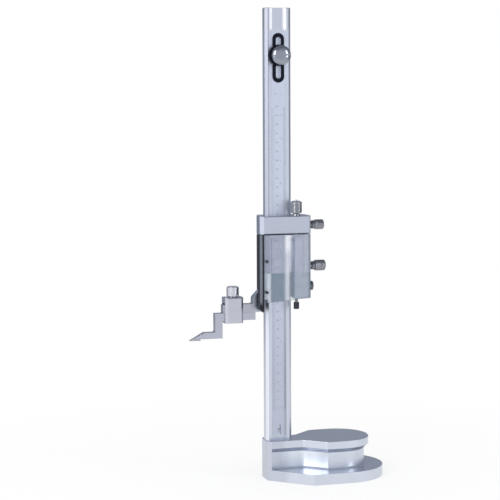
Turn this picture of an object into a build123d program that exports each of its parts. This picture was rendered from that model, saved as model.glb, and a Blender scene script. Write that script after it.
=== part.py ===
"""Vernier height gauge, 0 to 300 mm, standing on its base with +Z up.

The graduated face looks along -Y, the base runs back towards +X and the scriber points to -X.
The origin is on the base's lapped underside, below the middle of the column. Sizes are in mm.
"""
from build123d import *
from math import cos, pi, sin
import os

os.makedirs("parts", exist_ok=True)

# ---------------------------------------------------------------- driving sizes
# column and its rule
column_width = 30.0
column_depth = 14.0
column_top = 530.0
column_bevel = 3.0
tenon_depth = 15.0
tenon_inset = 2.5
rule_width = 16.2
rule_thickness = 2.4
rule_top = 503.5
rule_recess = 0.1          # the rule lies this far below the column's front
rule_side_gap = 0.1
rule_stroke = 4.0          # zero adjustment of the rule, each way
rule_foot_gap = 6.0        # from the base to the rule's lower end

# base
base_height = 45.0
foot_thickness = 12.0
rim_thickness = 8.5
groove_depth = 5.0         # of the finger groove, in from the rim
nose_overhang = 0.1        # base beyond the column's left side
neck_overhang = 7.5        # base beyond the column's front and back
nose_bevel = 3.5           # upright corners of the base's narrow end
neck_reach = 24.7          # where the neck starts to flare
rim_corner_x = 48.6
rim_half_width = 35.7
foot_corner_x = 26.7
foot_half_width = 52.0
lobe_x = 71.4              # centre of the rounded rear
relief_depth = 3.0
relief_margin = 11.0

# carriage: slider below, fine-adjusting block above
slide_gap = 0.05           # running clearance to the column, each side
slider_height = 72.0
front_wall = 13.9
left_wall = 6.15
right_wall = 15.4
rear_wall = 5.4
gib_thickness = 2.8
block_gap = 0.8
block_height = 19.9
block_left_extra = 4.0     # the block reaches as far left as the slider's guard
corner_bevel = 4.0

clamp_screw_rise = 34.7    # screws' heights above the slider's underside
gib_low_rise = 11.9
gib_high_rise = 58.0
cover_screw_rises = (8.5, 43.0)
back_screw_margin = 12.0   # from the slider's ends
back_screw_grip = 4.5
cover_screw_grip = 5.0

# jaw, scriber and their clamp
tip_height = 161.5         # reading at rest
stop_gap = 0.3             # slider to base when the scriber touches the surface plate
jaw_drop = 15.4            # underside of the jaw below the slider
jaw_height = 9.4
jaw_depth = 10.0
jaw_reach = 43.3
jaw_root_width = 8.5
jaw_root_rise = 16.0
shank_height = 8.6
shank_depth = 9.0
clamp_width = 20.8
clamp_wall = 3.4
clamp_floor = 2.9
clamp_roof = 6.6
clamp_offset = 20.4        # from the slider's left face to the clamp's right face

# fits
screw_gap = 0.05           # radial clearance of a screw in its hole
seat_gap = 0.05            # between parts that press on each other when tightened

# ---------------------------------------------------------------- derived places
column_right = column_width / 2
column_front = -column_depth / 2
nose_x = -(column_width / 2 + nose_overhang)
neck_half = column_depth / 2 + neck_overhang

rule_slot_depth = rule_thickness + rule_recess
rule_floor = column_front + rule_slot_depth
rule_front = column_front + rule_recess
rule_bottom = base_height + rule_foot_gap

slider_bottom = tip_height + base_height + stop_gap
slider_top = slider_bottom + slider_height
block_bottom = slider_top + block_gap
block_top = block_bottom + block_height

channel_x = column_right + slide_gap
channel_y = column_depth / 2 + slide_gap
frame_left = channel_x + left_wall
frame_right = channel_x + gib_thickness + seat_gap + right_wall
front_y = -(channel_y + front_wall)
rear_y = channel_y + rear_wall

jaw_bottom = slider_bottom - jaw_drop
jaw_top = jaw_bottom + jaw_height
jaw_end = -(frame_left + jaw_reach)
shank_top = jaw_bottom - seat_gap
shank_bottom = shank_top - shank_height


# ---------------------------------------------------------------- helpers
def turn(start, along, profile):
    """Revolve a half section of (distance, radius) points about the line from start."""
    across = (0, 1, 0) if abs(along[1]) < 0.5 else (0, 0, 1)
    normal = Vector(*along).cross(Vector(*across))
    section = Plane(origin=start, x_dir=along, z_dir=normal)
    with BuildSketch(section) as half:
        with BuildLine():
            Polyline(*profile, close=True)
        make_face()
    revolve(half.sketch, axis=Axis(start, along))


def bore(mouth, outward, radius, depth):
    """Drill a hole from its mouth, against the outward direction."""
    with Locations(Plane(origin=mouth, z_dir=outward)):
        Hole(radius=radius, depth=depth)


def finish(builder, name):
    builder.part.label = name
    export_step(builder.part, os.path.join("parts", name + ".step"))


# ---------------------------------------------------------------- base
column_screw_radius = 2.5
column_screw_head_radius = 4.25
column_screw_head_height = 5.0
column_screw_spacing = 11.4
column_screw_sink = 8.0    # depth of the counterbore under the base
column_screw_grip = 10.0   # length in the column
tenon_width = column_width - 2 * tenon_inset
tenon_thickness = column_depth - 2 * tenon_inset
screw_places = [(-column_screw_spacing / 2, 0), (column_screw_spacing / 2, 0)]
rim_bottom = base_height - rim_thickness - groove_depth
undercut_margin = 0.2
rim_start = nose_x - 2 * groove_depth
waist_bevel = 2.0
nose_block = nose_bevel + 0.4

with BuildSketch() as rim_plan:
    with BuildLine():
        Polyline(
            (rim_start, -neck_half), (neck_reach, -neck_half),
            (rim_corner_x, -rim_half_width), (lobe_x, -rim_half_width),
        )
        ThreePointArc(
            (lobe_x, -rim_half_width), (lobe_x + rim_half_width, 0), (lobe_x, rim_half_width)
        )
        Polyline(
            (lobe_x, rim_half_width), (rim_corner_x, rim_half_width),
            (neck_reach, neck_half), (rim_start, neck_half), (rim_start, -neck_half),
        )
    make_face()
    corners = rim_plan.vertices().group_by(Axis.X)
    fillet(corners[1] + corners[2], radius=9.0)

with BuildPart() as base:
    with BuildSketch(Plane.XY.offset(rim_bottom)):
        add(rim_plan.sketch)
    extrude(amount=base_height - rim_bottom)
    chamfer(base.faces().sort_by(Axis.Z)[0].edges(), length=groove_depth - undercut_margin)
    with BuildSketch(Plane.XY.offset(foot_thickness)):
        add(rim_plan.sketch)
        offset(amount=-groove_depth)
    extrude(amount=rim_bottom - foot_thickness + groove_depth)
    with BuildSketch(Plane.XY.offset(foot_thickness)):
        add(rim_plan.sketch)
        offset(amount=waist_bevel - groove_depth)
    extrude(amount=waist_bevel, taper=45)
    split(bisect_by=Plane.YZ.offset(nose_x), keep=Keep.TOP)
    # the groove stops short of the narrow end, which is one upright block
    with BuildSketch(Plane.XY.offset(foot_thickness)):
        with Locations((nose_x + nose_block / 2, 0)):
            Rectangle(nose_block, 2 * neck_half)
    extrude(amount=base_height - foot_thickness)
    with BuildSketch(Plane.XY.offset(foot_thickness)):
        for side in (-1, 1):
            with BuildLine():
                Polyline(
                    (nose_x - 1, side * (neck_half - nose_bevel - 1)),
                    (nose_x + nose_bevel + 1, side * (neck_half + 1)),
                    (nose_x - 1, side * (neck_half + 1)), close=True,
                )
            make_face()
    extrude(amount=base_height - foot_thickness, mode=Mode.SUBTRACT)
    chamfer(base.faces().sort_by(Axis.Z)[-1].edges(), length=0.6)
    with BuildSketch() as foot_plan:
        with BuildLine():
            Polyline(
                (nose_x, -(neck_half - nose_bevel)), (nose_x + nose_bevel, -neck_half),
                (foot_corner_x, -foot_half_width), (lobe_x, -foot_half_width),
            )
            ThreePointArc(
                (lobe_x, -foot_half_width), (lobe_x + foot_half_width, 0),
                (lobe_x, foot_half_width),
            )
            Polyline(
                (lobe_x, foot_half_width), (foot_corner_x, foot_half_width),
                (nose_x + nose_bevel, neck_half), (nose_x, neck_half - nose_bevel),
                (nose_x, -(neck_half - nose_bevel)),
            )
        make_face()
        fillet(foot_plan.vertices().group_by(Axis.X)[2], radius=9.0)
    extrude(amount=foot_thickness)
    with BuildSketch(Plane.XY.offset(base_height - tenon_depth)):
        Rectangle(tenon_width + 2 * screw_gap, tenon_thickness + 2 * screw_gap)
    extrude(amount=tenon_depth, mode=Mode.SUBTRACT)
    for x, y in screw_places:
        with Locations(Plane(origin=(x, y, 0), z_dir=(0, 0, -1))):
            CounterBoreHole(
                radius=column_screw_radius + screw_gap,
                counter_bore_radius=column_screw_head_radius + 0.2,
                counter_bore_depth=column_screw_sink,
                depth=base_height - tenon_depth,
            )
    with BuildSketch():
        with Locations((lobe_x, 0)):
            Circle(foot_half_width - relief_margin)
    extrude(amount=relief_depth, mode=Mode.SUBTRACT)
finish(base, "base")

# ---------------------------------------------------------------- column
lock_x = 0.0
lock_z = 477.5
lock_thread_radius = 2.5
lock_thread_depth = 8.0
guide_screw_radius = 1.4
guide_screw_z = base_height + 10.6
guide_screw_depth = 6.0

with BuildPart() as column:
    with BuildSketch(Plane.XY.offset(base_height)) as column_plan:
        Rectangle(column_width, column_depth)
        chamfer(column_plan.vertices(), length=column_bevel)
    extrude(amount=column_top - base_height)
    chamfer(column.faces().sort_by(Axis.Z)[-1].edges(), length=0.5)
    with BuildSketch(Plane.XY.offset(base_height)):
        with Locations((0, column_front + rule_slot_depth / 2)):
            Rectangle(rule_width + 2 * rule_side_gap, rule_slot_depth)
    extrude(amount=column_top - base_height, mode=Mode.SUBTRACT)
    with BuildSketch(Plane.XY.offset(base_height - tenon_depth)):
        Rectangle(tenon_width, tenon_thickness)
    extrude(amount=tenon_depth)
    for x, y in screw_places:
        bore((x, y, base_height - tenon_depth), (0, 0, -1),
             column_screw_radius + screw_gap, column_screw_grip + 2)
    bore((lock_x, rule_floor, lock_z), (0, -1, 0),
         lock_thread_radius + screw_gap, lock_thread_depth + 1)
    bore((0, rule_floor, guide_screw_z), (0, -1, 0),
         guide_screw_radius + screw_gap, guide_screw_depth + 1)
finish(column, "column")

head_top = column_screw_sink
head_low = column_screw_sink - column_screw_head_height
screw_tip = base_height - tenon_depth + column_screw_grip
with BuildPart() as column_screws:
    for x, y in screw_places:
        turn((x, y, head_low), (0, 0, 1), [
            (0, 0), (0, column_screw_head_radius),
            (head_top - head_low, column_screw_head_radius),
            (head_top - head_low, column_screw_radius),
            (screw_tip - head_low, column_screw_radius), (screw_tip - head_low, 0),
        ])
        with BuildSketch(Plane.XY.offset(head_low)):
            with Locations((x, y)):
                RegularPolygon(radius=2.3, side_count=6)
        extrude(amount=2.5, mode=Mode.SUBTRACT)
finish(column_screws, "column_screws")

# ---------------------------------------------------------------- rule and its lock
link_width = 13.4
link_length = 54.8
link_slot_width = 6.0
link_slot_length = 46.0
link_thickness = 1.2
link_z = 474.8
washer_radius = 11.8
washer_thickness = 4.0
lock_head_radius = 10.8
lock_neck_radius = 7.5     # where the head meets the washer
lock_head_flare = 5.0      # height at which the head is widest
lock_head_rim = 7.5        # top of the straight side, where the dome starts
lock_head_height = 12.5
lock_slot_width = 1.8
lock_slot_depth = 2.6
link_front = rule_front - link_thickness
washer_back = link_front - seat_gap
washer_front = washer_back - washer_thickness

with BuildPart() as main_scale:
    with BuildSketch(Plane.XZ.offset(-rule_floor)):
        with Locations((0, (rule_bottom + rule_top) / 2)):
            Rectangle(rule_width, rule_top - rule_bottom)
        with Locations((lock_x, link_z)):
            SlotOverall(link_slot_length, link_slot_width, rotation=90, mode=Mode.SUBTRACT)
        guide_slot_top = guide_screw_z + guide_screw_radius + rule_stroke + 1.2
        guide_slot_height = guide_slot_top - rule_bottom
        with Locations((0, rule_bottom + guide_slot_height / 2)):
            Rectangle(2 * guide_screw_radius + 0.3, guide_slot_height, mode=Mode.SUBTRACT)
    extrude(amount=rule_thickness)
finish(main_scale, "main_scale")

with BuildPart() as scale_link:
    with BuildSketch(Plane.XZ.offset(-rule_front)):
        with Locations((lock_x, link_z)):
            SlotOverall(link_length, link_width, rotation=90)
            SlotOverall(link_slot_length, link_slot_width, rotation=90, mode=Mode.SUBTRACT)
    extrude(amount=link_thickness)
    chamfer(scale_link.faces().sort_by(Axis.Y)[0].outer_wire().edges(), length=0.4)
finish(scale_link, "scale_link")

with BuildPart() as scale_lock_washer:
    with BuildSketch(Plane.XZ.offset(-washer_back)):
        with Locations((lock_x, lock_z)):
            Circle(washer_radius)
            Circle(lock_thread_radius + screw_gap, mode=Mode.SUBTRACT)
    extrude(amount=washer_thickness)
finish(scale_lock_washer, "scale_lock_washer")

lock_reach = lock_thread_depth + (rule_floor - washer_front)
dome_rise = lock_head_height - lock_head_rim
dome_steps = 3
dome = [
    (lock_head_rim + dome_rise * sin(pi / 2 * step / dome_steps),
     lock_head_radius * cos(pi / 2 * step / dome_steps))
    for step in range(dome_steps)
]
with BuildPart() as scale_lock_screw:
    turn((lock_x, washer_front, lock_z), (0, -1, 0), [
        (-lock_reach, 0), (-lock_reach, lock_thread_radius), (0, lock_thread_radius),
        (0, lock_neck_radius), (lock_head_flare, lock_head_radius), *dome,
        (lock_head_height, 0),
    ])
    with BuildSketch(Plane.XZ.offset(-(washer_front - lock_head_height + lock_slot_depth))):
        with Locations((lock_x, lock_z)):
            Rectangle(2 * lock_head_radius + 2, lock_slot_width, rotation=-4)
    extrude(amount=lock_slot_depth + 1, mode=Mode.SUBTRACT)
finish(scale_lock_screw, "scale_lock_screw")

with BuildPart() as scale_guide_screw:
    turn((0, rule_front + 0.4, guide_screw_z), (0, 1, 0), [
        (0, 0), (0, guide_screw_radius),
        (rule_floor - rule_front - 0.4 + guide_screw_depth, guide_screw_radius),
        (rule_floor - rule_front - 0.4 + guide_screw_depth, 0),
    ])
finish(scale_guide_screw, "scale_guide_screw")

# ---------------------------------------------------------------- screw axes on the carriage
cross_y = -1.5             # the thumb screws' axes, towards the graduated face
block_screw_z = block_bottom + 8.3
slider_screw_z = slider_bottom + clamp_screw_rise
gib_low_z = slider_bottom + gib_low_rise
gib_high_z = slider_bottom + gib_high_rise
fine_x = column_right + 2.0
fine_y = front_y + 3.0
fine_radius = 1.7
fine_collar_radius = 2.4
fine_collar_height = 1.7
thumb_radius = 3.0
gib_screw_radius = 2.0
pad_radius = 2.4
pad_length = 3.4
block_left = frame_left + block_left_extra
rear_left = channel_x + 4.95
rear_right = channel_x + 11.5
corner_relief = 1.5
block_back = -4.5          # rear edge of the block's left face
cheek_back = cross_y + thumb_radius + 1.7    # rear edge of the right-hand cheek

# ---------------------------------------------------------------- fine-adjusting block
with BuildPart() as fine_adjust_block:
    with BuildSketch(Plane.XY.offset(block_bottom)) as block_plan:
        with BuildLine():
            Polyline(
                (-block_left + corner_bevel, front_y), (frame_right - corner_relief, front_y),
                (frame_right, front_y + corner_relief), (frame_right, cheek_back),
                (rear_right, rear_y), (-rear_left, rear_y),
                (-block_left, block_back), (-block_left, front_y + corner_bevel),
                close=True,
            )
        make_face()
        Rectangle(2 * channel_x, 2 * channel_y, mode=Mode.SUBTRACT)
    extrude(amount=block_height)
    front_face = fine_adjust_block.faces().sort_by(Axis.Y)[0]
    chamfer(front_face.edges().filter_by(Axis.X), length=0.8)
    bore((frame_right, cross_y, block_screw_z), (1, 0, 0),
         thumb_radius + screw_gap, frame_right - channel_x - pad_length)
    bore((channel_x + pad_length + 0.5, cross_y, block_screw_z), (1, 0, 0),
         pad_radius + screw_gap, pad_length + 1.0)
    bore((fine_x, fine_y, block_top), (0, 0, 1), fine_radius + 0.1, block_height)
    bore((fine_x, fine_y, block_bottom), (0, 0, -1),
         fine_collar_radius + 0.2, fine_collar_height + 0.6)
finish(fine_adjust_block, "fine_adjust_block")

with BuildPart() as fine_clamp_pad:
    turn((channel_x, cross_y, block_screw_z), (1, 0, 0), [
        (0, 0), (0, pad_radius), (pad_length - seat_gap, pad_radius),
        (pad_length - seat_gap, 0),
    ])
finish(fine_clamp_pad, "fine_clamp_pad")

# ---------------------------------------------------------------- slider frame
window_left = channel_x + 2.4
window_right = channel_x - 0.75
window_bottom = slider_bottom + 29.6
window_top = slider_top - 3.5
notch_left = channel_x + 0.6
plate_seat = -(channel_y + 0.35)      # where the vernier plates lie, just off the column
taper_x = channel_x + 14.5
gib_slot_front = -(channel_y - 1.4)
back_screw_radius = 1.25
back_screw_xs = [-(channel_x + 2.25), channel_x + gib_thickness + 5.5]
back_screw_zs = [slider_bottom + back_screw_margin, slider_top - back_screw_margin]
cover_screw_radius = 1.1
cover_screw_x = -(frame_left - 1.9)
cover_screw_zs = [slider_bottom + rise for rise in cover_screw_rises]
jaw_root_x = -(frame_left + jaw_root_width)
jaw_inner_x = -(channel_x + 2.9)

with BuildPart() as slider_frame:
    with BuildSketch(Plane.XY.offset(slider_bottom)):
        with BuildLine():
            Polyline(
                (-frame_left, front_y), (frame_right - corner_relief, front_y),
                (frame_right, front_y + corner_relief), (frame_right, cheek_back),
                (taper_x, channel_y), (-(rear_left + 0.8), channel_y),
                (-frame_left, jaw_depth / 2), close=True,
            )
        make_face()
        Rectangle(2 * channel_x, 2 * channel_y, mode=Mode.SUBTRACT)
        with Locations((channel_x + gib_thickness / 2, (gib_slot_front + channel_y) / 2)):
            Rectangle(gib_thickness + 2 * seat_gap, channel_y - gib_slot_front,
                      mode=Mode.SUBTRACT)
    extrude(amount=slider_height)
    # lower notch, open at the bottom, where the bare rule shows
    with BuildSketch(Plane.XZ.offset(-front_y)):
        with Locations(((window_right - notch_left) / 2, (slider_bottom + window_bottom) / 2)):
            Rectangle(notch_left + window_right, window_bottom - slider_bottom)
        with Locations((0, (window_bottom + window_top) / 2)):
            Rectangle(2 * (rule_width / 2 + 0.6), window_top - window_bottom)
    extrude(amount=front_y + channel_y, mode=Mode.SUBTRACT)
    # window with a ledge at each side for the vernier plates
    with BuildSketch(Plane.XZ.offset(-front_y)):
        with Locations(((window_right - window_left) / 2, (window_bottom + window_top) / 2)):
            Rectangle(window_left + window_right, window_top - window_bottom)
    extrude(amount=front_y - plate_seat, mode=Mode.SUBTRACT)
    # jaw arm, drawn from the side the graduations are on
    with BuildSketch(Plane.XZ) as jaw_outline:
        with BuildLine():
            Polyline(
                (jaw_inner_x, slider_bottom + 4.0), (jaw_inner_x, jaw_bottom),
                (jaw_end, jaw_bottom), (jaw_end, jaw_top), (jaw_root_x, jaw_top),
                (jaw_root_x, jaw_top + 0.45 * jaw_root_rise),
                (-frame_left, jaw_top + jaw_root_rise),
                (-frame_left + 2.0, jaw_top + jaw_root_rise),
                (-frame_left + 2.0, slider_bottom + 4.0), close=True,
            )
        make_face()
        for corner, radius in (
            ((jaw_root_x, jaw_top), 1.5),
            ((jaw_root_x, jaw_top + 0.45 * jaw_root_rise), 5.0),
            ((jaw_inner_x, jaw_bottom), 3.0),
        ):
            fillet(jaw_outline.vertices().sort_by_distance(corner)[0], radius=radius)
    extrude(amount=jaw_depth / 2, both=True)
    bore((frame_right, cross_y, slider_screw_z), (1, 0, 0),
         thumb_radius + screw_gap, right_wall)
    for z in (gib_low_z, gib_high_z):
        bore((frame_right, cross_y, z), (1, 0, 0), gib_screw_radius + screw_gap, right_wall)
    bore((fine_x, fine_y, slider_top), (0, 0, 1), fine_radius + 0.1, slider_height)
    for x in back_screw_xs:
        for z in back_screw_zs:
            bore((x, channel_y, z), (0, 1, 0), back_screw_radius + screw_gap,
                 back_screw_grip + 1.0)
    for z in cover_screw_zs:
        bore((cover_screw_x, front_y, z), (0, -1, 0), cover_screw_radius + screw_gap,
             cover_screw_grip + 1.0)
finish(slider_frame, "slider_frame")

# ---------------------------------------------------------------- slider's back and gib
back_head_radius = 2.2
back_head_height = 2.0
with BuildPart() as slider_back_plate:
    with BuildSketch(Plane.XY.offset(slider_bottom)):
        with BuildLine():
            Polyline(
                (-(rear_left + 0.8), channel_y), (taper_x, channel_y),
                (rear_right, rear_y), (-rear_left, rear_y), close=True,
            )
        make_face()
    extrude(amount=slider_height)
    chamfer(slider_back_plate.faces().sort_by(Axis.Y)[-1].edges(), length=0.6)
    for x in back_screw_xs:
        for z in back_screw_zs:
            with Locations(Plane(origin=(x, rear_y, z), z_dir=(0, 1, 0))):
                CounterBoreHole(
                    radius=back_screw_radius + screw_gap,
                    counter_bore_radius=back_head_radius + 0.2,
                    counter_bore_depth=back_head_height, depth=rear_wall,
                )
finish(slider_back_plate, "slider_back_plate")

with BuildPart() as back_plate_screws:
    for x in back_screw_xs:
        for z in back_screw_zs:
            turn((x, rear_y, z), (0, -1, 0), [
                (0.2, 0), (0.2, back_head_radius), (back_head_height, back_head_radius),
                (back_head_height, back_screw_radius),
                (rear_wall + back_screw_grip, back_screw_radius),
                (rear_wall + back_screw_grip, 0),
            ])
            with BuildSketch(Plane.XZ.offset(-(rear_y - 1.2))):
                with Locations((x, z)):
                    Rectangle(2 * back_head_radius, 0.6, rotation=30)
            extrude(amount=-2.0, mode=Mode.SUBTRACT)
finish(back_plate_screws, "back_plate_screws")

with BuildPart() as gib_strip:
    with BuildSketch(Plane.XY.offset(slider_bottom + 1.0)):
        with Locations((channel_x + gib_thickness / 2, 0)):
            Rectangle(gib_thickness, 2 * (abs(gib_slot_front) - 0.3))
    extrude(amount=slider_height - 2.0)
finish(gib_strip, "gib_strip")

# ---------------------------------------------------------------- screws at the right side
thumb_collar_start = 6.6   # bare shank between the wall and the collar
thumb_collar_length = 3.6
thumb_collar_radius = 4.8
thumb_head_length = 12.8
thumb_head_radius = 6.2


def thumb_screw(tip_x, y, z, head_length, head_radius):
    """Shank, smooth collar and head, from the tip at the gib to the knob's domed end."""
    collar = frame_right + thumb_collar_start - tip_x
    head = collar + thumb_collar_length
    end = head + head_length
    turn((tip_x, y, z), (1, 0, 0), [
        (0, 0), (0, thumb_radius), (collar, thumb_radius), (collar, thumb_collar_radius),
        (head, thumb_collar_radius), (head + 0.8, head_radius), (end - 1.2, head_radius),
        (end, head_radius - 1.8), (end, 0),
    ])


with BuildPart() as slider_clamp_screw:
    thumb_screw(channel_x + gib_thickness + seat_gap, cross_y, slider_screw_z,
                thumb_head_length, thumb_head_radius)
finish(slider_clamp_screw, "slider_clamp_screw")

with BuildPart() as fine_clamp_screw:
    thumb_screw(channel_x + pad_length, cross_y, block_screw_z,
                thumb_head_length - 1.8, thumb_head_radius - 0.5)
finish(fine_clamp_screw, "fine_clamp_screw")

gib_tip = channel_x + gib_thickness + seat_gap
gib_head_radius = 5.3
gib_head_start = 3.8
gib_head_length = 4.2
with BuildPart() as gib_lock_screw:
    turn((gib_tip, cross_y, gib_low_z), (1, 0, 0), [
        (0, 0), (0, gib_screw_radius),
        (right_wall, gib_screw_radius), (right_wall, 3.4),
        (right_wall + gib_head_start, 3.4), (right_wall + gib_head_start, gib_head_radius),
        (right_wall + gib_head_start + gib_head_length - 0.6, gib_head_radius),
        (right_wall + gib_head_start + gib_head_length, gib_head_radius - 0.6),
        (right_wall + gib_head_start + gib_head_length, 0),
    ])
    with BuildSketch(Plane.YZ.offset(gib_tip + right_wall + gib_head_start
                                     + gib_head_length - 1.4)):
        with Locations((cross_y, gib_low_z)):
            Rectangle(1.2, 2 * gib_head_radius + 1)
    extrude(amount=2.0, mode=Mode.SUBTRACT)
finish(gib_lock_screw, "gib_lock_screw")

grub_sink = 1.0
with BuildPart() as gib_grub_screw:
    turn((gib_tip, cross_y, gib_high_z), (1, 0, 0), [
        (0, 0), (0, gib_screw_radius), (right_wall - grub_sink, gib_screw_radius),
        (right_wall - grub_sink, 0),
    ])
    with BuildSketch(Plane.YZ.offset(gib_tip + right_wall - grub_sink - 1.5)):
        with Locations((cross_y, gib_high_z)):
            Rectangle(0.8, 2 * gib_screw_radius + 1)
    extrude(amount=2.0, mode=Mode.SUBTRACT)
finish(gib_grub_screw, "gib_grub_screw")

# ---------------------------------------------------------------- fine-adjusting screw
fine_knob_radius = 6.4
fine_knob_bottom = block_top + 3.2
fine_knob_top = block_top + 16.6
fine_nub_top = block_top + 17.8
fine_nub_radius = 1.7
fine_collar_low = block_bottom + 0.3
fine_nut_radius = 3.1
fine_nut_top = slider_bottom - 4.2
fine_nut_height = 7.6
fine_nut_bottom = fine_nut_top - fine_nut_height
fine_screw_tip = fine_nut_bottom + 0.5

with BuildPart() as fine_adjust_screw:
    turn((fine_x, fine_y, fine_screw_tip), (0, 0, 1), [
        (z - fine_screw_tip, r) for z, r in (
            (fine_screw_tip, 0), (fine_screw_tip, fine_radius),
            (block_top + seat_gap, fine_radius), (block_top + seat_gap, 4.6),
            (fine_knob_bottom, 3.6), (fine_knob_bottom, fine_knob_radius - 0.7),
            (fine_knob_bottom + 0.7, fine_knob_radius),
            (fine_knob_top - 1.2, fine_knob_radius), (fine_knob_top, fine_knob_radius - 2.2),
            (fine_knob_top, fine_nub_radius), (fine_nub_top - 0.5, fine_nub_radius),
            (fine_nub_top, 0),
        )
    ])
finish(fine_adjust_screw, "fine_adjust_screw")

with BuildPart() as fine_screw_collar:
    with BuildSketch(Plane.XY.offset(fine_collar_low)):
        with Locations((fine_x, fine_y)):
            Circle(fine_collar_radius)
            Circle(fine_radius + screw_gap, mode=Mode.SUBTRACT)
    extrude(amount=fine_collar_height)
finish(fine_screw_collar, "fine_screw_collar")

with BuildPart() as fine_screw_nut:
    with BuildSketch(Plane.XY.offset(fine_nut_bottom)):
        with Locations((fine_x, fine_y)):
            Circle(fine_nut_radius)
            Circle(fine_radius + screw_gap, mode=Mode.SUBTRACT)
    extrude(amount=fine_nut_height)
finish(fine_screw_nut, "fine_screw_nut")

# ---------------------------------------------------------------- guard, verniers and cover
guard_thickness = block_left_extra
guard_back = -(jaw_depth / 2 + 0.3)    # in front of the jaw's root
guard_heel = block_back    # above the root it reaches as far back as the block
guard_bottom = jaw_bottom + 0.6
guard_round = 5.0
guard_step = jaw_top + jaw_root_rise + 0.4
with BuildPart() as side_guard:
    with BuildSketch(Plane.YZ.offset(-frame_left - guard_thickness)) as guard_side:
        with BuildLine():
            Polyline(
                (front_y, guard_bottom), (guard_back, guard_bottom),
                (guard_back, guard_step), (guard_heel, guard_step),
                (guard_heel, slider_top), (front_y, slider_top), close=True,
            )
        make_face()
        fillet(guard_side.vertices().sort_by(Axis.Y)[:2], radius=guard_round)
    extrude(amount=guard_thickness)
    guard_corner = side_guard.edges().filter_by(Axis.Z).group_by(Axis.Y)[0]
    chamfer(guard_corner.sort_by(Axis.X)[0], length=guard_thickness - 0.4)
finish(side_guard, "side_guard")

plate_thickness = 1.6
plate_gap = 0.4            # vernier plate to rule, and to the window's edge
vernier_edges = {
    "vernier_left": (-window_left + 0.1, -(rule_width / 2 + plate_gap)),
    "vernier_right": (rule_width / 2 + plate_gap, window_right - 0.1),
}
vernier_screw_radius = 1.3
vernier_screw_places = []
for name, (low_x, high_x) in vernier_edges.items():
    fixing_x = low_x + 2.2 if name == "vernier_left" else high_x - 2.0
    for z in (window_bottom + 4.0, window_top - 4.0):
        vernier_screw_places.append((fixing_x, z))
    with BuildPart() as vernier:
        with BuildSketch(Plane.XZ.offset(-plate_seat)):
            with Locations(((low_x + high_x) / 2, (window_bottom + window_top) / 2)):
                Rectangle(high_x - low_x, window_top - window_bottom - 0.2)
        extrude(amount=plate_thickness)
        inner = Axis.X if name == "vernier_left" else Axis.X.reverse()
        edge = vernier.edges().filter_by(Axis.Z).group_by(Axis.Y)[0].sort_by(inner)[-1]
        chamfer(edge, length=1.0)
    finish(vernier, name)

with BuildPart() as vernier_screws:
    for x, z in vernier_screw_places:
        turn((x, plate_seat - plate_thickness, z), (0, -1, 0), [
            (0, 0), (0, vernier_screw_radius), (0.7, vernier_screw_radius), (0.7, 0),
        ])
finish(vernier_screws, "vernier_screws")

cover_thickness = 3.5
cover_right = frame_right - 1.7
cover_low_left = slider_bottom - 3.4
cover_low_right = slider_bottom + 0.6
lens_x = 5.6
lens_width = 19.0
lens_rise = 3.0
cover_front = front_y - cover_thickness
with BuildPart() as magnifier:
    with BuildSketch(Plane.XY.offset(cover_low_left)):
        with BuildLine():
            Polyline(
                (lens_x - lens_width / 2, cover_front), (-frame_left, cover_front),
                (-frame_left, front_y), (cover_right, front_y), (cover_right, cover_front),
                (lens_x + lens_width / 2, cover_front),
            )
            ThreePointArc(
                (lens_x + lens_width / 2, cover_front), (lens_x, cover_front - lens_rise),
                (lens_x - lens_width / 2, cover_front),
            )
        make_face()
    extrude(amount=slider_top - cover_low_left)
    # the lower edge rises to the right, clear of the base's flare
    with BuildSketch(Plane.XZ.offset(-front_y)):
        with BuildLine():
            Polyline(
                (-frame_left, cover_low_left), (cover_right, cover_low_right),
                (cover_right, cover_low_left), close=True,
            )
        make_face()
    extrude(amount=cover_thickness + lens_rise + 1, mode=Mode.SUBTRACT)
    for z in cover_screw_zs:
        bore((cover_screw_x, cover_front, z), (0, -1, 0), cover_screw_radius + screw_gap,
             cover_thickness)
finish(magnifier, "magnifier")

with BuildPart() as magnifier_screws:
    for z in cover_screw_zs:
        turn((cover_screw_x, cover_front, z), (0, 1, 0), [
            (-1.1, 0), (-1.1, 1.8), (0, 1.8), (0, cover_screw_radius),
            (cover_thickness + cover_screw_grip, cover_screw_radius),
            (cover_thickness + cover_screw_grip, 0),
        ])
finish(magnifier_screws, "magnifier_screws")

# ---------------------------------------------------------------- clamp on the jaw
clamp_right = -(frame_left + clamp_offset)
clamp_x = clamp_right - clamp_width / 2
clamp_low = shank_bottom - seat_gap - clamp_floor
pad_thickness = 1.5
clamp_slot_top = jaw_top + pad_thickness + 2 * seat_gap
clamp_high = clamp_slot_top + clamp_roof
clamp_half_depth = jaw_depth / 2 + seat_gap + clamp_wall
clamp_bevel = 2.6
with BuildPart() as scriber_clamp:
    with BuildSketch(Plane.YZ.offset(clamp_x - clamp_width / 2)) as clamp_ring:
        with Locations((0, (clamp_low + clamp_high) / 2)):
            Rectangle(2 * clamp_half_depth, clamp_high - clamp_low)
        fillet(clamp_ring.vertices(), radius=2.0)
        with Locations((0, (shank_bottom - seat_gap + clamp_slot_top) / 2)):
            Rectangle(jaw_depth + 2 * seat_gap, clamp_slot_top - shank_bottom + seat_gap,
                      mode=Mode.SUBTRACT)
    extrude(amount=clamp_width)
    with BuildSketch(Plane.XY.offset(clamp_low)) as clamp_plan:
        with Locations((clamp_x, 0)):
            Rectangle(clamp_width, 2 * clamp_half_depth)
        chamfer(clamp_plan.vertices().group_by(Axis.Y)[0], length=clamp_bevel)
    extrude(amount=clamp_high - clamp_low, mode=Mode.INTERSECT)
    bore((clamp_x, 0, clamp_high), (0, 0, 1), 2.5 + screw_gap, clamp_roof)
finish(scriber_clamp, "scriber_clamp")

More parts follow.
